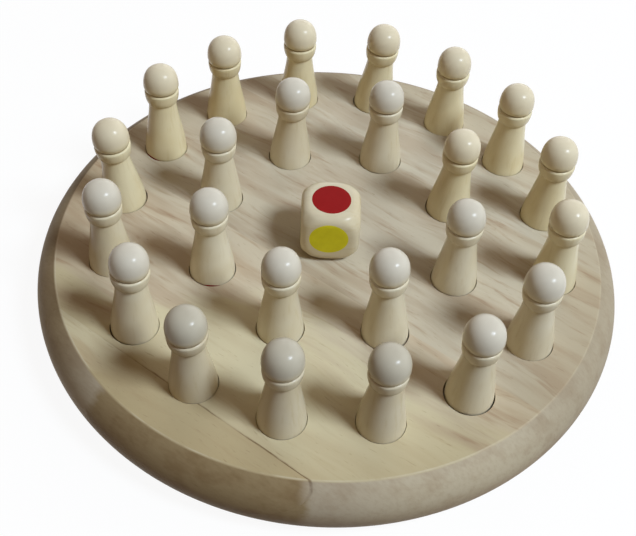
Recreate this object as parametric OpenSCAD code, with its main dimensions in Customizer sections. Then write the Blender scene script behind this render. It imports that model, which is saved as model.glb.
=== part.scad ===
// Round wooden colour memory game: a glued board, two rings of loose pegs with hidden colours, and a colour die.
// Millimetres, +Z up. The origin is the middle of the board's underside, and the front of the board is at -Y.

/* [Board] */
// Widest diameter of the board, across its rounded edge
board_d = 185; // [160:1:230]
// Thickness of the board
board_t = 20.5; // [14:0.5:30]
// How far the rounded edge reaches in, from the widest diameter to the flat top
edge_in = 6.8; // [3:0.1:7]

/* [Staves] */
// Direction of the grain and of the glue lines, turned from +X
grain_angle = -35.5; // [-90:0.5:90]
// Width of the narrow front stave, on the flat top
front_stave_w = 13.6; // [8:0.1:20]
// Width of each full stave
stave_w = 57; // [45:0.5:65]
// Slant of the front stave's glued edge, from upright
front_slant = 50; // [0:1:50]

/* [Holes] */
// Pegs in the outer ring
outer_n = 16; // [8:1:16]
// Pegs in the inner ring
inner_n = 8; // [4:1:8]
// From the edge of the flat top to the middles of the outer holes
rim_margin = 15.7; // [10:0.1:20]
// From the outer ring of holes to the inner ring
ring_gap = 29.5; // [18:0.1:36]
// Middle of the rings, to the right of the middle of the board
ring_x = 1.4; // [-3:0.1:3]
// Middle of the rings, behind the middle of the board
ring_y = 1.9; // [-3:0.1:3]
// Depth of each blind hole
hole_depth = 6; // [4:0.1:10]
// Free play all round a foot in its hole
foot_play = 0.45; // [0.2:0.05:0.8]
// Height of a foot above the floor of its hole
floor_gap = 0.2; // [0.1:0.05:0.5]

/* [Pegs] */
// Diameter of the foot, where the peg meets the board
foot_d = 14; // [11:0.1:16]
// Rounding of the foot's lower edge
foot_round = 0.8; // [0.4:0.1:1.5]
// Height of the neck above the board
neck_h = 19.5; // [12:0.1:30]
// Diameter of the neck
neck_d = 8.9; // [6:0.1:10.5]
// How far the flare from neck to foot bends into an S, where 0 is a straight cone
flare_bend = 0.65; // [0:0.05:1]
// Height of the collar, from the neck to the groove
collar_h = 4.6; // [2.5:0.1:7]
// Diameter of the collar at its top
collar_d = 11.2; // [10.6:0.1:13]
// Width of the turned groove between collar and head
groove_w = 0.7; // [0.4:0.1:1.2]
// Depth of the groove below the collar
groove_depth = 0.5; // [0.2:0.1:0.9]
// Diameter of the head
head_d = 11.4; // [10:0.1:14]
// Height of the head above the groove
head_h = 7.7; // [6:0.1:12]
// Height of the head's widest point above the groove
head_widest = 0.9; // [0.5:0.1:3]
// Fullness of the dome, where 2 is an ellipse and more is squarer
dome_power = 2.5; // [2:0.1:3.5]

/* [Paint] */
// Thickness of the coats of paint on the feet and on the die
paint_t = 0.2; // [0.1:0.05:0.3]
// From the top of the board down to the paint on an upright peg
paint_drop = 0.5; // [0.3:0.1:1.5]

/* [Die] */
// Edge length of the die
die_a = 19; // [14:0.5:25]
// Rounding of the die's edges
die_round = 3.4; // [1:0.1:4.5]
// How far the die's corners are worn off, from where its rounded edges would meet
corner_cut = 2.2; // [0.5:0.1:2.5]
// Bare wood from a spot to the start of the rounded edges
spot_rim = 0.1; // [0.1:0.1:3]
// Place of the die on the board, to the right of the middle
die_x = -0.2; // [-15:0.1:15]
// Place of the die on the board, behind the middle
die_y = -0.1; // [-15:0.1:15]
// Height of the die above the board
die_gap = 0.1; // [0.05:0.05:0.3]

/* [Hidden] */
$fn = 96;
steps = 12;

STAVES = 4;
PAINTS = ["yellow", "green", "blue", "purple", "orange", "red"];
FACES = [["red", [0, 0, 0]], ["yellow", [90, 0, 0]], ["blue", [0, 90, 0]],
         ["green", [0, -90, 0]], ["orange", [-90, 0, 0]], ["purple", [180, 0, 0]]];

// Pegs that stand askew in their loose holes: name, lean to the right and lean to the back, in degrees
ASKEW = [["outer_02", -1, -2], ["outer_03", 2, 1], ["outer_05", -3, -2], ["outer_06", 0, 3],
         ["outer_07", 0, -2], ["outer_09", 3, -2], ["outer_10", 0, -3], ["outer_13", -2, -1],
         ["outer_14", -2, -1], ["inner_04", 1, -2], ["inner_06", 2, -1], ["inner_08", -2, 2]];
// Share of the free play in a hole that a lean may take up
LEAN_SHARE = 0.8;

WOOD = [0.72, 0.68, 0.56];
LACQUER = [0.82, 0.79, 0.68];

board_r = board_d / 2;
flat_r = board_r - edge_in;
edge_r = (edge_in ^ 2 + (board_t / 2) ^ 2) / (2 * edge_in);
front_seam = front_stave_w - flat_r;
outer_r = flat_r - rim_margin;
inner_r = outer_r - ring_gap;
foot_r = foot_d / 2;
hole_r = foot_r + foot_play;
foot_in = hole_depth - floor_gap;
paint_h = foot_in - paint_drop;
neck_r = neck_d / 2;
collar_r = collar_d / 2;
head_r = head_d / 2;
neck_z = foot_in + neck_h;
groove_z = neck_z + collar_h;
head_z = groove_z + groove_w;
dome_z = head_z + head_widest;
dome_h = head_h - head_widest;
lean_limit = atan(LEAN_SHARE * 2 * foot_play / foot_in);
die_flat = die_a - 2 * die_round;
die_ball_r = sqrt(3) * (die_flat / 2 + die_round / sqrt(2)) - corner_cut;
spot_r = die_flat / 2 - spot_rim;

function two(i) = i < 10 ? str("0", i) : str(i);
function names(first, n) = [for (i = [1:n]) str(first, two(i))];

// Colour of a paint by its name
function rgb(paint) =
    paint == "red" ? [0.56, 0.10, 0.11] :
    paint == "yellow" ? [0.62, 0.57, 0.10] :
    paint == "blue" ? [0.10, 0.24, 0.52] :
    paint == "green" ? [0.12, 0.42, 0.20] :
    paint == "orange" ? [0.74, 0.34, 0.08] :
    [0.34, 0.16, 0.42];

// Points on an arc about [x, z], from one angle to another
function arc(x, z, r, from, to) =
    [for (i = [0:steps]) let (a = from + (to - from) * i / steps) [x + r * cos(a), z + r * sin(a)]];

// Middle of a peg's hole, counted from the front round by the left
function place(ring_r, i, n) =
    let (a = 360 * (i - 0.5) / n)
    [ring_x - ring_r * sin(a), ring_y - ring_r * cos(a)];

// Lean of a peg, held within what its hole allows
function lean(name) =
    let (hit = search([name], ASKEW)[0],
         wish = hit == [] ? [0, 0] : [ASKEW[hit][1], ASKEW[hit][2]],
         size = norm(wish))
    size > lean_limit ? wish * lean_limit / size : wish;

// Radius of the flare, from the neck at 0 to the foot at 1
function flare(t) = neck_r + (foot_r - neck_r) * ((1 - flare_bend) * t + flare_bend * t * t * (3 - 2 * t));

// Outline of a foot's lower edge, drawn in by a coat's thickness
function foot_edge(coat) = arc(foot_r - foot_round, foot_round, foot_round - coat, -90, 0);

// Outline of the turned wood, from the foot up, with room for the paint
function peg_outline() = concat(
    [[0, paint_t]],
    foot_edge(paint_t),
    [[foot_r - paint_t, paint_h], [foot_r, paint_h]],
    [for (i = [0:steps]) let (t = 1 - i / steps) [flare(t), neck_z - neck_h * t]],
    [for (i = [1:steps]) let (a = 90 * i / steps)
        [neck_r + (collar_r - neck_r) * sin(a), neck_z + collar_h * (1 - cos(a))]],
    [[collar_r - groove_depth, groove_z + groove_w / 2]],
    [for (i = [0:steps / 2]) let (a = 180 * i / steps)
        [head_r - groove_depth / 2 * (1 - sin(a)), head_z + head_widest * sin(a)]],
    [for (i = [1:steps]) let (a = 90 * i / steps)
        [head_r * pow(max(cos(a), 0), 2 / dome_power), dome_z + dome_h * pow(sin(a), 2 / dome_power)]]);

// Puts its children in the hole of one peg, as the peg stands there
module in_hole(ring, ring_r, i, n) {
    tilt = lean(str(ring, "_", two(i)));
    raise = foot_r * sin(norm(tilt));
    translate(concat(place(ring_r, i, n), board_t - hole_depth + floor_gap + raise + foot_in / 2))
        rotate([-tilt[1], tilt[0], 0])
            translate([0, 0, -foot_in / 2])
                children();
}

// Outline of the board: a flat top and underside, and an edge that is one arc
function board_outline() =
    let (rise = atan2(board_t / 2, edge_r - edge_in))
    concat([[0, 0]], arc(board_r - edge_r, board_t / 2, edge_r, -rise, rise), [[0, board_t]]);

module whole_board() {
    rotate_extrude() polygon(board_outline());
}

module holes(ring_r, n) {
    for (i = [1:n])
        translate(concat(place(ring_r, i, n), board_t - hole_depth))
            cylinder(h = board_t, r = hole_r);
}

// Room of one stave between its glued edges; the first and the last run out past the board
module stave_room(i) {
    low = i == 1 ? -board_d : front_seam + (i - 2) * stave_w;
    high = i == STAVES ? board_d : front_seam + (i - 1) * stave_w;
    drift = board_t * tan(front_slant);
    low_drift = i == 2 ? drift : 0;
    high_drift = i == 1 ? drift : 0;
    rotate([0, 0, grain_angle])
        rotate([90, 0, 90])
            linear_extrude(2 * board_d, center = true)
                polygon([[low - low_drift, 0], [high - high_drift, 0], [high, board_t], [low, board_t]]);
}

module board_stave(i) {
    color(WOOD)
        difference() {
            intersection() {
                whole_board();
                stave_room(i);
            }
            holes(outer_r, outer_n);
            holes(inner_r, inner_n);
        }
}

module peg() {
    color(LACQUER) rotate_extrude() polygon(peg_outline());
}

// Coat of paint on a foot: a thin cup
module foot_paint(paint) {
    color(rgb(paint))
        rotate_extrude()
            polygon(concat(
                [[0, 0]],
                foot_edge(0),
                [[foot_r, paint_h], [foot_r - paint_t, paint_h]],
                [for (i = [steps:-1:0]) foot_edge(paint_t)[i]],
                [[0, paint_t]]));
}

// Square bar with rounded edges, as long as the die
module die_bar() {
    cube([die_a, die_flat, die_a], center = true);
    cube([die_flat, die_a, die_a], center = true);
    for (x = [-1, 1], y = [-1, 1])
        translate([x * die_flat / 2, y * die_flat / 2, 0])
            cylinder(h = die_a, r = die_round, center = true);
}

module at_die() {
    translate([die_x, die_y, board_t + die_gap + die_a / 2]) children();
}

// Puts its children in the middle of one face of the die, facing out
module on_face(turn) {
    at_die() rotate(turn) translate([0, 0, die_a / 2 - paint_t]) children();
}

module die() {
    color(LACQUER)
        difference() {
            at_die()
                intersection() {
                    die_bar();
                    rotate([90, 0, 0]) die_bar();
                    rotate([0, 90, 0]) die_bar();
                    sphere(die_ball_r);
                }
            for (face = FACES)
                on_face(face[1]) cylinder(h = die_a, r = spot_r);
        }
}

module die_spot(face) {
    color(rgb(face[0])) on_face(face[1]) cylinder(h = paint_t, r = spot_r);
}

for (i = [1:STAVES])
    board_stave(i);

for (i = [1:outer_n]) {
    in_hole("outer", outer_r, i, outer_n) peg();
    in_hole("outer", outer_r, i, outer_n) foot_paint(PAINTS[(i - 1) % len(PAINTS)]);
}

for (i = [1:inner_n]) {
    in_hole("inner", inner_r, i, inner_n) peg();
    in_hole("inner", inner_r, i, inner_n) foot_paint(PAINTS[(outer_n + i - 1) % len(PAINTS)]);
}

die();

for (face = FACES)
    die_spot(face);
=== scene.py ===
"""Looks of a round wooden memory game: a glued board, two rings of loose turned pegs and a colour die."""

import math
import random

import bmesh
import bpy
from mathutils import Matrix, Vector


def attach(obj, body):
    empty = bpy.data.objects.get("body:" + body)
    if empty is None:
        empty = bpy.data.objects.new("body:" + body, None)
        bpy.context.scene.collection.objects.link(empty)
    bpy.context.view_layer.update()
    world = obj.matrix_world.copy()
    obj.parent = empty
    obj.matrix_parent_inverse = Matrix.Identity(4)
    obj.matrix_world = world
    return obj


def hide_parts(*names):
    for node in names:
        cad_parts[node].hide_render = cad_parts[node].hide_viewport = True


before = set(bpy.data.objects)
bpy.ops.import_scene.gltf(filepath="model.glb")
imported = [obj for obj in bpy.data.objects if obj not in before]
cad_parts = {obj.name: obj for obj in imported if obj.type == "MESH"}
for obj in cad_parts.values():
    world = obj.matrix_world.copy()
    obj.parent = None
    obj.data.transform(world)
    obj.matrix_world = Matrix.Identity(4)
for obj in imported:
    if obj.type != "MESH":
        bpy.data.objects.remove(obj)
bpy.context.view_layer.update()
scene = bpy.context.scene

# Sizes of the pieces in millimetres and degrees, as in the part's source
MM = 0.001
BOARD_D = 185
BOARD_T = 20.5
EDGE_IN = 6.8
GRAIN_ANGLE = -35.5
FRONT_STAVE_W = 13.6
STAVE_W = 57
FRONT_SLANT = 50
RIM_MARGIN = 15.7
RING_GAP = 29.5
RING_X = 1.4
RING_Y = 1.9
HOLE_DEPTH = 6
FLOOR_GAP = 0.2
FOOT_R = 7
FOOT_ROUND = 0.8
NECK_H = 19.5
NECK_R = 4.45
FLARE_BEND = 0.65
COLLAR_H = 4.6
COLLAR_R = 5.6
GROOVE_W = 0.7
GROOVE_DEPTH = 0.5
HEAD_R = 5.7
HEAD_H = 7.7
HEAD_WIDEST = 0.9
DOME_POWER = 2.5
PAINT_T = 0.2
PAINT_DROP = 0.5
DIE_A = 19
DIE_ROUND = 3.4
CORNER_CUT = 2.2
SPOT_RIM = 0.1
DIE_X = -0.2
DIE_Y = -0.1
DIE_GAP = 0.1

# Sizes of the look alone: the gap round a foot, how far paint stays below the source's, a seam's gap,
# and where the yellow spot lies off the middle of its face
HOLE_GAP = 0.15
INNER_HOLES_WIDER = 0.1
PAINT_SINK = 0.55
HAIRLINE = 0.01
YELLOW_SHIFT = (-0.4, 1.2)
# Angle from the grain, in radians, of the middle of the rim's brown part
BROWN_AT = -1.33

BOARD_R = BOARD_D / 2
FLAT_R = BOARD_R - EDGE_IN
EDGE_R = (EDGE_IN ** 2 + (BOARD_T / 2) ** 2) / (2 * EDGE_IN)
FRONT_SEAM = FRONT_STAVE_W - FLAT_R
SEAMS = [FRONT_SEAM, FRONT_SEAM + STAVE_W, FRONT_SEAM + 2 * STAVE_W]
OUTER_R = FLAT_R - RIM_MARGIN
INNER_R = OUTER_R - RING_GAP
HOLE_R = FOOT_R + HOLE_GAP
FOOT_IN = HOLE_DEPTH - FLOOR_GAP
PAINT_H = FOOT_IN - PAINT_DROP
NECK_Z = FOOT_IN + NECK_H
GROOVE_Z = NECK_Z + COLLAR_H
HEAD_Z = GROOVE_Z + GROOVE_W
DOME_Z = HEAD_Z + HEAD_WIDEST
DOME_H = HEAD_H - HEAD_WIDEST
DIE_FLAT = DIE_A - 2 * DIE_ROUND
DIE_BALL_R = math.sqrt(3) * (DIE_FLAT / 2 + DIE_ROUND / math.sqrt(2)) - CORNER_CUT
SPOT_R = DIE_FLAT / 2 - SPOT_RIM

PAINTS = ["yellow", "green", "blue", "purple", "orange", "red"]
RINGS = [("outer", OUTER_R, 16, 0), ("inner", INNER_R, 8, 16)]
FACES = [("red", (0, 0)), ("yellow", (90, 0)), ("blue", (0, 90)),
         ("green", (0, -90)), ("orange", (-90, 0)), ("purple", (180, 0))]
# Pegs that stand askew in their loose holes: lean to the right and lean to the back
ASKEW = {"outer_02": (-1, -2), "outer_03": (2, 1), "outer_05": (-3, -2), "outer_06": (0, 3),
         "outer_07": (0, -2), "outer_09": (3, -2), "outer_10": (0, -3), "outer_13": (-2, -1),
         "outer_14": (-2, -1), "inner_04": (1, -2), "inner_06": (2, -1), "inner_08": (-2, 2)}

# Holes that are worn wider, and pegs whose paint reaches up out of the hole: how far, and at which angle
WIDE_HOLES = {"outer_03": 0.1, "outer_05": 0.1, "outer_09": 0.1,
              "outer_11": 0.1, "outer_12": 0.1, "outer_15": 0.25}
PAINT_SEEN = {"outer_06": (1.15, -2.3), "inner_02": (1.35, -1.6)}
# Pegs at the front that are painted greyer and darker, standing in for the shade that falls on them, and
# older pegs that have yellowed
SHADED_FRONT_PEGS = ["outer_01", "outer_02", "outer_16"]
YELLOWED = ["outer_%02d" % i for i in range(5, 14)] + ["inner_06"]


def linear(code):
    """Linear colour of an sRGB hex value."""
    parts = [int(code[i:i + 2], 16) / 255 for i in (1, 3, 5)]
    return [p / 12.92 if p <= 0.04045 else ((p + 0.055) / 1.055) ** 2.4 for p in parts] + [1.0]


def add(tree, kind, settings, **inputs):
    """Adds a node: settings are its own properties, inputs its sockets' values or the sockets that feed them.
    An underscore and a number stand for a socket's place, and other underscores for spaces in its name."""
    made = tree.nodes.new("ShaderNode" + kind)
    for key, value in settings.items():
        setattr(made, key, value)
    for key, value in inputs.items():
        socket = made.inputs[int(key[1:]) if key[0] == "_" else key.replace("_", " ")]
        if isinstance(value, bpy.types.NodeSocket):
            tree.links.new(value, socket)
        else:
            socket.default_value = value
    return made


COLOUR = {"data_type": "RGBA"}
MULTIPLY = {"data_type": "RGBA", "blend_type": "MULTIPLY"}
SOFT_STEP = {"interpolation_type": "SMOOTHSTEP"}


def new_material(name):
    """An empty node material, its tree and its surface output."""
    made = bpy.data.materials.new(name)
    made.use_nodes = True
    made.node_tree.nodes.clear()
    return made, made.node_tree, made.node_tree.nodes.new("ShaderNodeOutputMaterial")


def rubberwood(name, shift, pale, streaky, blush_from):
    """Rubberwood, sanded and thinly sealed. To the eye it is a dull pale cream with soft bands, a pinkish
    part of the log with flecks behind blush_from, fine pores, and a rim that is grey but for a brown part
    at the front left."""
    made, tree, out = new_material(name)
    place = add(tree, "TexCoord", {}).outputs["Object"]
    # Millimetres, with x along the grain, y across it and z up
    grain = add(tree, "Mapping", {"vector_type": "TEXTURE"}, Vector=place, Scale=(MM, MM, MM),
                Rotation=(0, 0, math.radians(GRAIN_ANGLE))).outputs[0]
    spot = add(tree, "SeparateXYZ", {}, Vector=grain).outputs
    # Each stave comes from another place in the log, and its fibres sway a little, over 50 mm
    log = add(tree, "VectorMath", {"operation": "ADD"}, _0=grain, _1=shift).outputs[0]
    slow = add(tree, "Mapping", {}, Vector=log, Scale=(1 / 50, 1 / 30, 1 / 30)).outputs[0]
    sway = add(tree, "TexNoise", {}, Vector=slow, Scale=1, Detail=2).outputs["Color"]
    sway = add(tree, "VectorMath", {"operation": "MULTIPLY"}, _0=sway, _1=(0, 12, 12)).outputs[0]
    fibre = add(tree, "VectorMath", {"operation": "ADD"}, _0=log, _1=sway).outputs[0]

    # Growth layers: soft bands about 7 mm wide and 60 mm long
    broad = add(tree, "Mapping", {}, Vector=fibre, Scale=(1 / 60, 1 / 7, 1 / 7)).outputs[0]
    broad = add(tree, "TexNoise", {}, Vector=broad, Scale=1, Detail=3, Roughness=0.6).outputs["Fac"]
    # Flecks 2 mm wide and 22 mm long
    fleck = add(tree, "Mapping", {}, Vector=fibre, Scale=(1 / 22, 1 / 2, 1 / 2)).outputs[0]
    fleck = add(tree, "TexNoise", {}, Vector=fleck, Scale=1, Detail=3, Roughness=0.6).outputs["Fac"]
    # Pores 0.2 mm wide in the wood, drawn 0.4 mm wide and 4 mm long so that they show
    pore = add(tree, "Mapping", {}, Vector=fibre, Scale=(1 / 4, 1 / 0.4, 1 / 0.4)).outputs[0]
    pore = add(tree, "TexNoise", {}, Vector=pore, Scale=1, Detail=1).outputs["Fac"]
    # Clouds 20 mm long, where the wood has taken up dirt
    cloud = add(tree, "Mapping", {}, Vector=log, Scale=(1 / 20, 1 / 12, 1 / 9)).outputs[0]
    cloud = add(tree, "TexNoise", {}, Vector=cloud, Scale=1, Detail=4, Roughness=0.65).outputs["Fac"]

    # The pinkish part of the log begins where the layers change, with an uneven edge, and reaches
    # further forward at the left
    edge = add(tree, "MapRange", {}, Value=broad, From_Min=0.3, From_Max=0.7, To_Min=-7, To_Max=7).outputs[0]
    edge = add(tree, "Math", {"operation": "ADD"}, _0=spot["Y"], _1=edge).outputs[0]
    far = add(tree, "MapRange", {}, Value=spot["X"], From_Min=-5, From_Max=-35, To_Max=30).outputs[0]
    edge = add(tree, "Math", {"operation": "ADD"}, _0=edge, _1=far).outputs[0]
    blush = add(tree, "MapRange", SOFT_STEP, Value=edge, From_Min=blush_from - 6,
                From_Max=blush_from + 8).outputs[0]
    tone = add(tree, "Mix", COLOUR, _0=blush, _6=linear(pale), _7=linear(streaky)).outputs[2]
    layers = add(tree, "MapRange", SOFT_STEP, Value=broad, From_Min=0.4, From_Max=0.66).outputs[0]
    depth = add(tree, "MapRange", {}, Value=blush, To_Min=0.3, To_Max=0.9).outputs[0]
    bands = add(tree, "Math", {"operation": "MULTIPLY"}, _0=layers, _1=depth).outputs[0]
    tone = add(tree, "Mix", MULTIPLY, _0=bands, _6=tone, _7=linear("#eae0da")).outputs[2]
    flecks = add(tree, "MapRange", SOFT_STEP, Value=fleck, From_Min=0.54, From_Max=0.76).outputs[0]
    flecks = add(tree, "Math", {"operation": "MULTIPLY"}, _0=flecks, _1=depth).outputs[0]
    tone = add(tree, "Mix", MULTIPLY, _0=flecks, _6=tone, _7=linear("#e6d9d1")).outputs[2]
    holes = add(tree, "MapRange", SOFT_STEP, Value=pore, From_Min=0.66, From_Max=0.8, To_Max=0.3).outputs[0]
    tone = add(tree, "Mix", MULTIPLY, _0=holes, _6=tone, _7=linear("#a98d76")).outputs[2]

    # Hands have yellowed the top towards its edge
    reach = add(tree, "Mapping", {}, Vector=grain, Scale=(1, 1, 0)).outputs[0]
    reach = add(tree, "VectorMath", {"operation": "LENGTH"}, _0=reach).outputs["Value"]
    held = add(tree, "MapRange", SOFT_STEP, Value=reach, From_Min=58, From_Max=FLAT_R + 2).outputs[0]
    tone = add(tree, "Mix", MULTIPLY, _0=held, _6=tone, _7=linear("#ebe6de")).outputs[2]

    # The open-pored rim is brown at the front left, about 80 degrees from the grain, and grey elsewhere; the
    # brown is partly the side grain's own colour and partly painted shade, where little light reaches
    turn = add(tree, "Math", {"operation": "ARCTAN2"}, _0=spot["Y"], _1=spot["X"]).outputs[0]
    turn = add(tree, "Math", {"operation": "MULTIPLY_ADD"}, _0=cloud, _1=0.12, _2=turn).outputs[0]
    turn = add(tree, "Math", {"operation": "ADD"}, _0=turn, _1=-BROWN_AT).outputs[0]
    turn = add(tree, "Math", {"operation": "ABSOLUTE"}, _0=turn).outputs[0]
    ends = add(tree, "MapRange", SOFT_STEP, Value=turn, From_Min=0.36, From_Max=0.4).outputs[0]
    side = add(tree, "Mix", COLOUR, _0=ends, _6=linear("#907d5c"), _7=linear("#ada089")).outputs[2]
    # The grey is palest midway between the side and the ends of the staves
    pale_end = add(tree, "MapRange", SOFT_STEP, Value=turn, From_Min=0.4, From_Max=0.75).outputs[0]
    side = add(tree, "Mix", COLOUR, _0=pale_end, _6=side, _7=linear("#b6a98f")).outputs[2]
    # Partly painted shade: the grey is darker again towards the right and the back
    dark_end = add(tree, "MapRange", SOFT_STEP, Value=turn, From_Min=0.9, From_Max=1.4).outputs[0]
    side = add(tree, "Mix", COLOUR, _0=dark_end, _6=side, _7=linear("#a4977f")).outputs[2]
    dirt_and_groove_shade = add(tree, "MapRange", {}, Value=ends, To_Min=0.6, To_Max=0.35).outputs[0]
    dirt_and_groove_shade = add(tree, "MapRange", SOFT_STEP, Value=cloud, From_Min=0.42, From_Max=0.66, To_Max=dirt_and_groove_shade).outputs[0]
    side = add(tree, "Mix", MULTIPLY, _0=dirt_and_groove_shade, _6=side, _7=linear("#d0bead")).outputs[2]
    # Cut fibres, drawn 1 mm wide, speckle it
    cut = add(tree, "Mapping", {}, Vector=log, Scale=(1 / 5, 1, 1 / 1.2)).outputs[0]
    cut = add(tree, "TexNoise", {}, Vector=cut, Scale=1, Detail=4, Roughness=0.7).outputs["Fac"]
    cut = add(tree, "MapRange", SOFT_STEP, Value=cut, From_Min=0.4, From_Max=0.75, To_Max=0.25).outputs[0]
    side = add(tree, "Mix", MULTIPLY, _0=cut, _6=side, _7=linear("#cfc3b6")).outputs[2]
    # Painted shade: the rim is darker below its middle, where it turns down and away from the light
    low = add(tree, "MapRange", SOFT_STEP, Value=spot["Z"], From_Min=BOARD_T * 0.75,
              From_Max=BOARD_T * 0.35).outputs[0]
    side = add(tree, "Mix", MULTIPLY, _0=low, _6=side, _7=linear("#e2d8ce")).outputs[2]
    # Painted shade: the upper rim is darker at the left, the side turned away from the light
    left_shade = add(tree, "MapRange", SOFT_STEP, Value=spot["X"], From_Min=-15, From_Max=-45).outputs[0]
    left_shade = add(tree, "MapRange", SOFT_STEP, Value=spot["Z"], From_Min=6, From_Max=17, To_Max=left_shade).outputs[0]
    side = add(tree, "Mix", MULTIPLY, _0=left_shade, _6=side, _7=linear("#cdc4b4")).outputs[2]
    rim = add(tree, "MapRange", SOFT_STEP, Value=spot["Z"], From_Min=BOARD_T - 0.04,
              From_Max=BOARD_T - 0.3).outputs[0]
    tone = add(tree, "Mix", COLOUR, _0=rim, _6=tone, _7=side).outputs[2]
    # Pale wear and painted highlight: the edge of the top is painted pale in places at the front, where the
    # eased edge catches the light
    rub_and_glint = add(tree, "Math", {"operation": "SUBTRACT"}, _0=reach, _1=FLAT_R).outputs[0]
    rub_and_glint = add(tree, "Math", {"operation": "ABSOLUTE"}, _0=rub_and_glint).outputs[0]
    rub_and_glint = add(tree, "MapRange", SOFT_STEP, Value=rub_and_glint, From_Min=0.35, From_Max=0.05).outputs[0]
    share = add(tree, "MapRange", SOFT_STEP, Value=cloud, From_Min=0.38, From_Max=0.62, To_Max=0.5).outputs[0]
    share = add(tree, "MapRange", {}, Value=dark_end, To_Min=share, To_Max=0).outputs[0]
    rub_and_glint = add(tree, "Math", {"operation": "MULTIPLY"}, _0=rub_and_glint, _1=share).outputs[0]
    tone = add(tree, "Mix", COLOUR, _0=rub_and_glint, _6=tone, _7=linear("#cdc3a8")).outputs[2]

    # Thin dark glue line on both sides of the slanting front seam, broken in places, and gone at the left
    # and low down
    slope = math.tan(math.radians(FRONT_SLANT))
    lean = add(tree, "Math", {"operation": "MULTIPLY_ADD"}, _0=spot["Z"], _1=-slope,
               _2=BOARD_T * slope - FRONT_SEAM).outputs[0]
    gap = add(tree, "Math", {"operation": "ADD"}, _0=spot["Y"], _1=lean).outputs[0]
    gap = add(tree, "Math", {"operation": "ABSOLUTE"}, _0=gap).outputs[0]
    glue = add(tree, "MapRange", SOFT_STEP, Value=gap, From_Min=0.4, From_Max=0.08).outputs[0]
    broken = add(tree, "MapRange", SOFT_STEP, Value=cloud, From_Min=0.4, From_Max=0.6, To_Min=0.15,
                 To_Max=0.85).outputs[0]
    glue = add(tree, "Math", {"operation": "MULTIPLY"}, _0=glue, _1=broken).outputs[0]
    above = add(tree, "MapRange", SOFT_STEP, Value=spot["Z"], From_Min=16, From_Max=20).outputs[0]
    glue = add(tree, "Math", {"operation": "MULTIPLY"}, _0=glue, _1=above).outputs[0]
    open_end = add(tree, "MapRange", SOFT_STEP, Value=spot["X"], From_Min=-40, From_Max=-15).outputs[0]
    glue = add(tree, "Math", {"operation": "MULTIPLY"}, _0=glue, _1=open_end).outputs[0]
    tone = add(tree, "Mix", MULTIPLY, _0=glue, _6=tone, _7=linear("#947a62")).outputs[2]

    rough = add(tree, "MapRange", {}, Value=fleck, To_Min=0.42, To_Max=0.6).outputs[0]
    relief = add(tree, "Math", {"operation": "MULTIPLY_ADD"}, _0=holes, _1=-2, _2=fleck).outputs[0]
    bump = add(tree, "Bump", {}, Strength=0.3, Distance=0.00012, Height=relief).outputs[0]
    shader = add(tree, "BsdfPrincipled", {}, Base_Color=tone, Roughness=rough, IOR=1.5,
                 Specular_IOR_Level=0.1, Normal=bump)
    tree.links.new(shader.outputs[0], out.inputs["Surface"])
    return made


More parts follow.
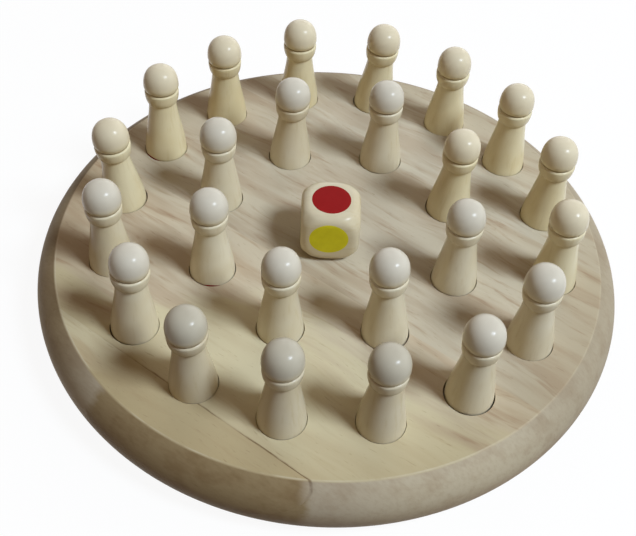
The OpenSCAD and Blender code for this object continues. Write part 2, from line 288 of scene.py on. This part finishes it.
def lacquered(name, body, head, head_from, grain_size):
    """Turned hardwood under clear gloss lacquer. To the eye it is a smooth ivory with faint straight grain,
    a small soft highlight, heads above head_from painted greyer for the cool light that falls on the tops,
    and painted shade in the groove."""
    made, tree, out = new_material(name)
    place = add(tree, "TexCoord", {}).outputs["Object"]
    local = add(tree, "Mapping", {"vector_type": "TEXTURE"}, Vector=place, Scale=(MM, MM, MM)).outputs[0]
    up = add(tree, "SeparateXYZ", {}, Vector=local).outputs["Z"]
    info = add(tree, "ObjectInfo", {}).outputs["Random"]
    piece = add(tree, "Math", {"operation": "MULTIPLY"}, _0=info, _1=50).outputs[0]
    # Grain lines across and along the piece, in millimetres
    along = add(tree, "Mapping", {}, Vector=local, Scale=[1 / s for s in grain_size]).outputs[0]
    fine = add(tree, "TexNoise", {"noise_dimensions": "4D"}, Vector=along, W=piece, Scale=1, Detail=4,
               Roughness=0.6).outputs["Fac"]
    # Clouds 12 mm wide, where the wood takes up more or less of the lacquer
    wide = add(tree, "Mapping", {}, Vector=local, Scale=(1 / 12, 1 / 12, 1 / 16)).outputs[0]
    cloud = add(tree, "TexNoise", {"noise_dimensions": "4D"}, Vector=wide, W=piece, Scale=1,
                Detail=2).outputs["Fac"]

    # Some pieces are a little yellower than others
    tint = add(tree, "MapRange", {}, Value=info, To_Max=0.5).outputs[0]
    tint = add(tree, "Mix", MULTIPLY, _0=tint, _6=linear(body), _7=linear("#f6f1e4")).outputs[2]
    soft = add(tree, "MapRange", SOFT_STEP, Value=cloud, From_Min=0.4, From_Max=0.7, To_Max=0.5).outputs[0]
    tint = add(tree, "Mix", MULTIPLY, _0=soft, _6=tint, _7=linear("#f0e8d6")).outputs[2]
    lines = add(tree, "MapRange", SOFT_STEP, Value=fine, From_Min=0.5, From_Max=0.75, To_Max=0.4).outputs[0]
    tint = add(tree, "Mix", MULTIPLY, _0=lines, _6=tint, _7=linear("#ebe2cf")).outputs[2]
    # Painted light: heads above head_from are painted greyer, standing in for the cool light from above that
    # falls on the tops
    head_grey = add(tree, "MapRange", SOFT_STEP, Value=up, From_Min=head_from, From_Max=head_from + 3,
               To_Max=0.85).outputs[0]
    tint = add(tree, "Mix", COLOUR, _0=head_grey, _6=tint, _7=linear(head)).outputs[2]
    # Painted shade in the groove between the collar and the head
    dip = add(tree, "Math", {"operation": "SUBTRACT"}, _0=up, _1=GROOVE_Z + GROOVE_W / 2).outputs[0]
    dip = add(tree, "Math", {"operation": "ABSOLUTE"}, _0=dip).outputs[0]
    dirt_and_groove_shade = add(tree, "MapRange", SOFT_STEP, Value=dip, From_Min=0.5, From_Max=0.1, To_Max=0.7).outputs[0]
    tint = add(tree, "Mix", MULTIPLY, _0=dirt_and_groove_shade, _6=tint, _7=linear("#8d7a5c")).outputs[2]

    bump = add(tree, "Bump", {}, Strength=0.1, Distance=0.00006, Height=fine).outputs[0]
    shader = add(tree, "BsdfPrincipled", {}, Base_Color=tint, Roughness=0.22, IOR=1.5, Normal=bump,
                 Specular_IOR_Level=0.16)
    tree.links.new(shader.outputs[0], out.inputs["Surface"])
    return made


def enamel(name, code):
    """Enamel paint, dipped or printed on wood. To the eye it is one strong colour with a soft gloss,
    a little thinner in places."""
    made, tree, out = new_material(name)
    place = add(tree, "TexCoord", {}).outputs["Object"]
    # Thin places about 3 mm across
    patch = add(tree, "TexNoise", {}, Vector=place, Scale=1 / (3 * MM), Detail=3).outputs["Fac"]
    thin = add(tree, "MapRange", SOFT_STEP, Value=patch, From_Min=0.35, From_Max=0.7, To_Max=0.2).outputs[0]
    tint = add(tree, "Mix", MULTIPLY, _0=thin, _6=linear(code), _7=linear("#dcd6c8")).outputs[2]
    rough = add(tree, "MapRange", {}, Value=patch, To_Min=0.3, To_Max=0.45).outputs[0]
    bump = add(tree, "Bump", {}, Strength=0.1, Distance=0.00005, Height=patch).outputs[0]
    shader = add(tree, "BsdfPrincipled", {}, Base_Color=tint, Roughness=rough, IOR=1.5, Normal=bump,
                 Specular_IOR_Level=0.06)
    tree.links.new(shader.outputs[0], out.inputs["Surface"])
    return made


def arc(x, z, r, first, last, count):
    """Points on an arc about (x, z) between two angles in degrees."""
    turns = [math.radians(first + (last - first) * i / count) for i in range(count + 1)]
    return [(x + r * math.cos(a), z + r * math.sin(a)) for a in turns]


def turned(outline, around, edge=None):
    """Mesh data turned from an outline of (radius, height) that starts and ends on the axis.
    edge gives an extra height for a point of the outline at an angle."""
    bm = bmesh.new()
    angles = [2 * math.pi * k / around for k in range(around)]
    rings = []
    for n, (r, z) in enumerate(outline):
        if r < 1e-6:
            rings.append([bm.verts.new((0, 0, z * MM))] * around)
            continue
        lift = [edge(n, a) if edge else 0 for a in angles]
        rings.append([bm.verts.new((r * math.cos(a) * MM, r * math.sin(a) * MM, (z + h) * MM))
                      for a, h in zip(angles, lift)])
    for low, high in zip(rings, rings[1:]):
        for k in range(around):
            corners = [low[k], low[k - around + 1], high[k - around + 1], high[k]]
            bm.faces.new(list(dict.fromkeys(corners)))
    return bm


def to_mesh(bm, name, crease):
    """Smooth-shaded mesh: level faces stay flat, and edges bent by more than crease degrees stay sharp."""
    bm.normal_update()
    for face in bm.faces:
        heights = [vert.co.z for vert in face.verts]
        face.smooth = max(heights) - min(heights) > 1e-7
    for edge in bm.edges:
        if len(edge.link_faces) == 2:
            edge.smooth = edge.calc_face_angle(0) < math.radians(crease)
    mesh = bpy.data.meshes.new(name)
    bm.to_mesh(mesh)
    bm.free()
    return mesh


def put(name, mesh, material, body, node, matrix=Matrix()):
    """Places a piece that stands for a CAD node, on its body and with its material slot."""
    mesh.materials.append(material)
    obj = bpy.data.objects.new(name, mesh)
    scene.collection.objects.link(obj)
    obj.matrix_world = matrix
    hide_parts(node)
    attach(obj, body)
    return obj


def ring_place(ring_r, i, n):
    """Middle of a hole, counted from the front round by the left."""
    a = math.radians(360 * (i - 0.5) / n)
    return RING_X - ring_r * math.sin(a), RING_Y - ring_r * math.cos(a)


def board_outline():
    """Outline of the board, with its rounded edge and the slightly eased rims of its flat faces."""
    ease, middle = 0.7, BOARD_T / 2
    reach = math.sqrt((EDGE_R - ease) ** 2 - (middle - ease) ** 2)
    x = BOARD_R - EDGE_R + reach
    rise = math.degrees(math.atan2(middle - ease, reach))
    return ([(0, 0)] + arc(x, ease, ease, -90, -rise, 5)
            + arc(BOARD_R - EDGE_R, middle, EDGE_R, -rise, rise, 30)[1:-1]
            + arc(x, BOARD_T - ease, ease, rise, 90, 5) + [(0, BOARD_T)])


def hole_cutter():
    """Solid that cuts all the blind holes, with an eased rim at the top of each."""
    ease, floor = 0.08, BOARD_T - HOLE_DEPTH
    whole = bmesh.new()
    for ring, ring_r, n, _ in RINGS:
        for i in range(1, n + 1):
            more = INNER_HOLES_WIDER if ring == "inner" else WIDE_HOLES.get("%s_%02d" % (ring, i), 0)
            r = HOLE_R + more
            outline = ([(0, floor), (r - 0.5, floor), (r, floor + 0.5)]
                       + arc(r + ease, BOARD_T - ease, ease, 180, 90, 4)
                       + [(r + ease, BOARD_T + 2), (0, BOARD_T + 2)])
            one = turned(outline, 64)
            x, y = ring_place(ring_r, i, n)
            bmesh.ops.translate(one, verts=one.verts, vec=(x * MM, y * MM, 0))
            spare = bpy.data.meshes.new("spare")
            one.to_mesh(spare)
            one.free()
            whole.from_mesh(spare)
            bpy.data.meshes.remove(spare)
    return whole


def drilled_board():
    """The whole board as one mesh, with its holes."""
    made = []
    for name, bm in (("blank", turned(board_outline(), 288)), ("cutter", hole_cutter())):
        mesh = bpy.data.meshes.new(name)
        bm.to_mesh(mesh)
        bm.free()
        made.append(bpy.data.objects.new(name, mesh))
        scene.collection.objects.link(made[-1])
    cut = made[0].modifiers.new("holes", "BOOLEAN")
    cut.operation = "DIFFERENCE"
    cut.solver = "EXACT"
    cut.object = made[1]
    graph = bpy.context.evaluated_depsgraph_get()
    result = bpy.data.meshes.new_from_object(made[0].evaluated_get(graph))
    for obj in made:
        spare = obj.data
        bpy.data.objects.remove(obj)
        bpy.data.meshes.remove(spare)
    return result


def saw(bm, offset, slant, keep_behind):
    """Saws the board along the grain and keeps one side, with a closed cut."""
    turn = Matrix.Rotation(math.radians(GRAIN_ANGLE), 3, "Z")
    tilt = math.radians(slant)
    normal = turn @ Vector((0, math.cos(tilt), -math.sin(tilt)))
    point = turn @ Vector((0, offset * MM, BOARD_T * MM))
    whole = bm.verts[:] + bm.edges[:] + bm.faces[:]
    cut = bmesh.ops.bisect_plane(bm, geom=whole, plane_co=point, plane_no=normal,
                                 clear_outer=not keep_behind, clear_inner=keep_behind)
    edges = [e for e in cut["geom_cut"] if isinstance(e, bmesh.types.BMEdge)]
    bmesh.ops.triangle_fill(bm, edges=edges, use_beauty=True)


def build_board(woods):
    """Four staves, sawn from the drilled board; the front seam has a hairline gap."""
    board = drilled_board()
    for i in range(1, 5):
        bm = bmesh.new()
        bm.from_mesh(board)
        bmesh.ops.triangulate(bm, faces=bm.faces[:])
        if i > 1:
            saw(bm, SEAMS[i - 2] + (HAIRLINE if i == 2 else 0), FRONT_SLANT if i == 2 else 0, True)
        if i < 4:
            saw(bm, SEAMS[i - 1] - (HAIRLINE if i == 1 else 0), FRONT_SLANT if i == 1 else 0, False)
        bmesh.ops.recalc_face_normals(bm, faces=bm.faces[:])
        name = "stave_%d" % i
        put(name, to_mesh(bm, name, 30), woods[i - 1], "board", "board_" + name)
    bpy.data.meshes.remove(board)


def peg_outline(draw, paint_h):
    """Outline of one turned peg from the foot up; draw gives each peg its own small differences."""
    collar_r = COLLAR_R + draw.uniform(-0.08, 0.08)
    head_r = HEAD_R + draw.uniform(-0.06, 0.06)
    neck_r = NECK_R + draw.uniform(-0.08, 0.08)
    points = [(0, PAINT_T)] + arc(FOOT_R - FOOT_ROUND, FOOT_ROUND, FOOT_ROUND - PAINT_T, -90, 0, 8)
    points += [(FOOT_R - PAINT_T, paint_h), (FOOT_R - 0.04, paint_h), (FOOT_R, paint_h + 0.06)]
    for i in range(29):
        t = 1 - i / 28
        bend = (1 - FLARE_BEND) * t + FLARE_BEND * t * t * (3 - 2 * t)
        points.append((neck_r + (FOOT_R - neck_r) * bend, NECK_Z - NECK_H * t))
    lip = 0.7
    for i in range(1, 17):
        a = math.radians(90 * i / 16)
        points.append((neck_r + (collar_r - neck_r) * math.sin(a),
                       NECK_Z + (COLLAR_H - lip) * (1 - math.cos(a))))
    points += arc(collar_r - lip, GROOVE_Z - lip, lip, 0, 70, 8)[1:]
    points += [(collar_r - GROOVE_DEPTH, GROOVE_Z + GROOVE_W * share) for share in (0.4, 0.6)]
    for i in range(7):
        a = math.radians(15 * i)
        points.append((head_r - GROOVE_DEPTH / 2 * (1 - math.sin(a)), HEAD_Z + HEAD_WIDEST * math.sin(a)))
    for i in range(1, 25):
        a = math.radians(90 * i / 24)
        r = head_r * max(math.cos(a), 0) ** (2 / DOME_POWER)
        points.append((r if i < 24 else 0, DOME_Z + DOME_H * math.sin(a) ** (2 / DOME_POWER)))
    return points


def paint_outline(paint_h):
    """Outline of the cup of paint on a foot; its upper edge laps a little over the bare wood."""
    lap = 0.03
    cup = [(0, 0)] + arc(FOOT_R - FOOT_ROUND, FOOT_ROUND, FOOT_ROUND, -90, 0, 8)
    cup += [(FOOT_R, paint_h - 1), (FOOT_R + lap, paint_h - 0.6), (FOOT_R + lap, paint_h)]
    cup += [(FOOT_R - 0.02, paint_h + 0.03), (FOOT_R - PAINT_T, paint_h - 0.1)]
    cup += arc(FOOT_R - FOOT_ROUND, FOOT_ROUND, FOOT_ROUND - PAINT_T, 0, -90, 8) + [(0, PAINT_T)]
    return cup


def build_pegs(wood, front_shade_wood, yellow_wood, paints):
    """Pegs and their painted feet, each standing in its hole as the source puts it."""
    for ring, ring_r, n, first in RINGS:
        for i in range(1, n + 1):
            body = "%s_%02d" % (ring, i)
            draw = random.Random(body)
            right, back = ASKEW.get(body, (0, 0))
            raised = FOOT_R * math.sin(math.radians(math.hypot(right, back)))
            x, y = ring_place(ring_r, i, n)
            z = BOARD_T - HOLE_DEPTH + FLOOR_GAP + raised + FOOT_IN / 2
            stand = (Matrix.Translation(Vector((x, y, z)) * MM)
                     @ Matrix.Rotation(math.radians(right), 4, "Y")
                     @ Matrix.Rotation(math.radians(-back), 4, "X")
                     @ Matrix.Translation((0, 0, -FOOT_IN / 2 * MM)))
            paint_h = PAINT_H - PAINT_SINK - raised
            rise, about = PAINT_SEEN.get(body, (0, 0))
            peg = to_mesh(turned(peg_outline(draw, paint_h), 80), body + "_peg", 40)
            # The pegs at the front get the finish with painted shade
            finish = front_shade_wood if body in SHADED_FRONT_PEGS else yellow_wood if body in YELLOWED else wood
            put(body + "_peg", peg, finish, body, "%s_peg_%02d" % (ring, i), stand)
            colour, phase = PAINTS[(first + i - 1) % len(PAINTS)], draw.uniform(0, 6)
            outline = paint_outline(paint_h)

            def wavy(k, a):
                """Uneven upper edge of the dipped paint."""
                if outline[k][1] < paint_h - 0.2:
                    return 0
                wave = 0.03 * (math.sin(a * 2 + phase) + math.sin(a * 3 - phase))
                return wave + rise * max(math.cos(a - about), 0) ** 6

            coat = to_mesh(turned(outline, 80, wavy), body + "_paint", 40)
            put(body + "_paint", coat, paints[colour], body,
                "%s_paint_%02d" % (ring, i), stand)


def die_shape(p):
    """How far a point lies outside the die: three rounded bars and a ball that wears the corners off."""
    gaps = [p.length - DIE_BALL_R]
    for u, v in ((p.x, p.y), (p.y, p.z), (p.x, p.z)):
        du, dv = abs(u) - DIE_FLAT / 2, abs(v) - DIE_FLAT / 2
        gaps.append(math.hypot(max(du, 0), max(dv, 0)) + min(max(du, dv), 0) - DIE_ROUND)
    most, blend = gaps[0], 1.2
    for gap in gaps[1:]:
        most = max(most, gap) + max(blend - abs(most - gap), 0) ** 2 / (4 * blend)
    return most


def die_surface(way, start=Vector()):
    """Where a line from a point inside the die leaves it."""
    low, high = 0.0, DIE_A
    for step in range(30):
        half = (low + high) / 2
        low, high = (half, high) if die_shape(start + way * half) < 0 else (low, half)
    return start + way * low


def spot_film(right, up):
    """Round film of paint laid on the die's upper face, off its middle by a small printing error."""
    bm = bmesh.new()
    # Radius and height over the die's surface, from the film's underside round its edge to its upper face
    layers = [(r, -0.12) for r in (0, 2, 4, SPOT_R)] + [(SPOT_R, 0.01)]
    layers += [(r, 0.03) for r in (SPOT_R - 0.15, 5, 4, 2, 0)]
    rings = []
    for r, rise in layers:
        turns = [math.pi * k / 48 for k in range(96)] if r else [0]
        spots = [Vector((right + r * math.cos(a), up + r * math.sin(a), 0)) for a in turns]
        surface = [die_surface(Vector((0, 0, 1)), spot) for spot in spots]
        ring = [bm.verts.new((point + Vector((0, 0, rise))) * MM) for point in surface]
        rings.append(ring if r else ring * 96)
    for low, high in zip(rings, rings[1:]):
        for k in range(96):
            bm.faces.new(list(dict.fromkeys([low[k], low[k - 95], high[k - 95], high[k]])))
    return bm


def build_die(wood, paints):
    """The die with its worn corners, and six thin round spots of paint."""
    bm = bmesh.new()
    bmesh.ops.create_cube(bm, size=2)
    bmesh.ops.subdivide_edges(bm, edges=bm.edges[:], cuts=47, use_grid_fill=True)
    for vert in bm.verts:
        vert.co = die_surface(vert.co.normalized()) * MM
    middle = Matrix.Translation(Vector((DIE_X, DIE_Y, BOARD_T + DIE_GAP + DIE_A / 2)) * MM)
    put("die_block", to_mesh(bm, "die_block", 60), wood, "die", "die", middle)
    for colour, (about_x, about_y) in FACES:
        face = (middle @ Matrix.Rotation(math.radians(about_y), 4, "Y")
                @ Matrix.Rotation(math.radians(about_x), 4, "X"))
        film = spot_film(*YELLOW_SHIFT) if colour == "yellow" else spot_film(0, 0)
        put("spot_" + colour, to_mesh(film, "spot_" + colour, 60), paints[colour], "die",
            "die_spot_" + colour, face)


def looked_at(tree):
    """1 for what is looked at, straight or by reflection, and 0 for the light that falls on the object."""
    path = add(tree, "LightPath", {}).outputs
    both = add(tree, "Math", {"operation": "MAXIMUM"}, _0=path["Is Camera Ray"],
               _1=path["Is Glossy Ray"]).outputs[0]
    return add(tree, "Math", {"operation": "MAXIMUM"}, _0=both, _1=path["Is Transmission Ray"]).outputs[0]


def white_ground(name):
    """Pale matt paper sweep. It looks white, takes a faint shadow and throws back about a sixth
    of the light."""
    made, tree, out = new_material(name)
    seen = looked_at(tree)
    share = add(tree, "Math", {"operation": "MULTIPLY"}, _0=seen, _1=0.93).outputs[0]
    place = add(tree, "TexCoord", {}).outputs["Object"]
    fibre = add(tree, "TexNoise", {}, Vector=place, Scale=400).outputs["Fac"]
    tint = add(tree, "Mix", COLOUR, _0=fibre, _6=linear("#7d7364"), _7=linear("#796f60")).outputs[2]
    tint = add(tree, "Mix", COLOUR, _0=seen, _6=tint, _7=linear("#fafafa")).outputs[2]
    paper = add(tree, "BsdfDiffuse", {}, Color=tint).outputs[0]
    glow = add(tree, "Emission", {}, Color=(1, 1, 1, 1), Strength=1.0).outputs[0]
    both = add(tree, "MixShader", {}, Fac=share, _1=paper, _2=glow).outputs[0]
    tree.links.new(both, out.inputs["Surface"])
    return made


def build_floor():
    """Wide floor that the game lies on."""
    bm = bmesh.new()
    bmesh.ops.create_grid(bm, x_segments=8, y_segments=8, size=3)
    mesh = bpy.data.meshes.new("floor")
    bm.to_mesh(mesh)
    bm.free()
    mesh.materials.append(white_ground("paper_matt_white"))
    floor = bpy.data.objects.new("floor", mesh)
    scene.collection.objects.link(floor)
    floor.location.z = -0.05 * MM


def build_world():
    """Dim warm room light, which looks white where it is seen."""
    world = bpy.data.worlds.new("room")
    scene.world = world
    world.use_nodes = True
    tree = world.node_tree
    tree.nodes.clear()
    seen = looked_at(tree)
    fill = add(tree, "Background", {}, Color=linear("#ffc07c"), Strength=0.11).outputs[0]
    white = add(tree, "Background", {}, Color=(1, 1, 1, 1), Strength=1.0).outputs[0]
    both = add(tree, "MixShader", {}, Fac=seen, _1=fill, _2=white).outputs[0]
    tree.links.new(both, tree.nodes.new("ShaderNodeOutputWorld").inputs["Surface"])


def build_lamps():
    """A window to the right of the camera, and the softer glow of the room from the other sides."""
    # Name, azimuth and rise in degrees, width in metres, power in watts and colour
    lamps = [("key", -27, 53, 0.56, 40.5, "#e0efff"),
             ("back", 80, 25, 2, 14.3, "#ffffff"),
             ("right", 0, 25, 2, 8, "#ffffff"),
             ("left", 185, 14, 2, 4, "#fff0dc")]
    distance = 2
    for name, azimuth, rise, size, energy, code in lamps:
        light = bpy.data.lights.new(name, "AREA")
        light.shape = "DISK"
        light.size = size
        light.energy = energy
        light.color = linear(code)[:3]
        lamp = bpy.data.objects.new(name, light)
        scene.collection.objects.link(lamp)
        turn = Matrix.Rotation(math.radians(azimuth), 4, "Z")
        turn = turn @ Matrix.Rotation(math.radians(90 - rise), 4, "Y")
        lamp.matrix_world = turn @ Matrix.Translation((0, 0, distance))


def build_camera():
    """Camera where the photograph was taken from: turned, tipped and rolled."""
    data = bpy.data.cameras.new("camera")
    data.sensor_width = 36
    # Focal length in pixels of an image 636 pixels wide
    focal, width = 997.3, 636
    data.lens = data.sensor_width * focal / width
    heading, pitch, roll = math.radians(-1.4445), math.radians(48.82), math.radians(3.467)
    turn = Matrix.Rotation(heading, 3, "Z")
    across, rise = Vector((1, 0, 0)), Vector((0, math.sin(pitch), math.cos(pitch)))
    back = Vector((0, -math.cos(pitch), math.sin(pitch)))
    side = math.cos(roll) * across + math.sin(roll) * rise
    top = math.cos(roll) * rise - math.sin(roll) * across
    axes = Matrix((turn @ side, turn @ top, turn @ back)).transposed().to_4x4()
    # Millimetres from the middle of the rings, on the board's top
    place = turn @ Vector((-4.456, -218.128, 233.775)) + Vector((RING_X, RING_Y, BOARD_T))
    camera = bpy.data.objects.new("camera", data)
    scene.collection.objects.link(camera)
    camera.matrix_world = Matrix.Translation(place * MM) @ axes
    scene.camera = camera
    scene.view_settings.view_transform = "Standard"


CREAM, PINKISH = "#cdc2a0", "#c9bca2"
staves = [rubberwood("rubberwood_sealed_front", (310, 40, 0), "#bfb08c", "#d4cbab", -62),
          rubberwood("rubberwood_sealed_second", (0, 0, 0), CREAM, PINKISH, -34),
          rubberwood("rubberwood_sealed_third", (150, 90, 30), CREAM, "#c3b8a0", -60),
          rubberwood("rubberwood_sealed_back", (520, 210, 60), CREAM, "#c6bda7", -60)]
paint_codes = {"red": "#8f0f10", "yellow": "#d2c828", "blue": "#23447f",
               "green": "#2c6b3d", "orange": "#c8641c", "purple": "#573068"}
enamels = {colour: enamel("enamel_" + colour, code) for colour, code in paint_codes.items()}
build_board(staves)
# Grain lines of the pegs and the die: millimetres in x, y and z
PEG_GRAIN, DIE_GRAIN = (1.2, 1.2, 22), (22, 1.5, 1.5)
build_pegs(lacquered("hardwood_turned_lacquered", "#d7ceb5", "#cbc4b4", HEAD_Z, PEG_GRAIN),
           # Painted shade: a greyer, darker finish for the pegs at the front
           lacquered("hardwood_turned_lacquered_front_shade", "#cfc5ac", "#b5ae9c", HEAD_Z, PEG_GRAIN),
           lacquered("hardwood_turned_lacquered_yellowed", "#dcd1ae", "#d7cbaf", HEAD_Z, PEG_GRAIN), enamels)
build_die(lacquered("hardwood_tumbled_lacquered", "#d4cab0", "#d4cab0", DIE_A, DIE_GRAIN), enamels)
build_floor()
build_world()
build_lamps()
build_camera()
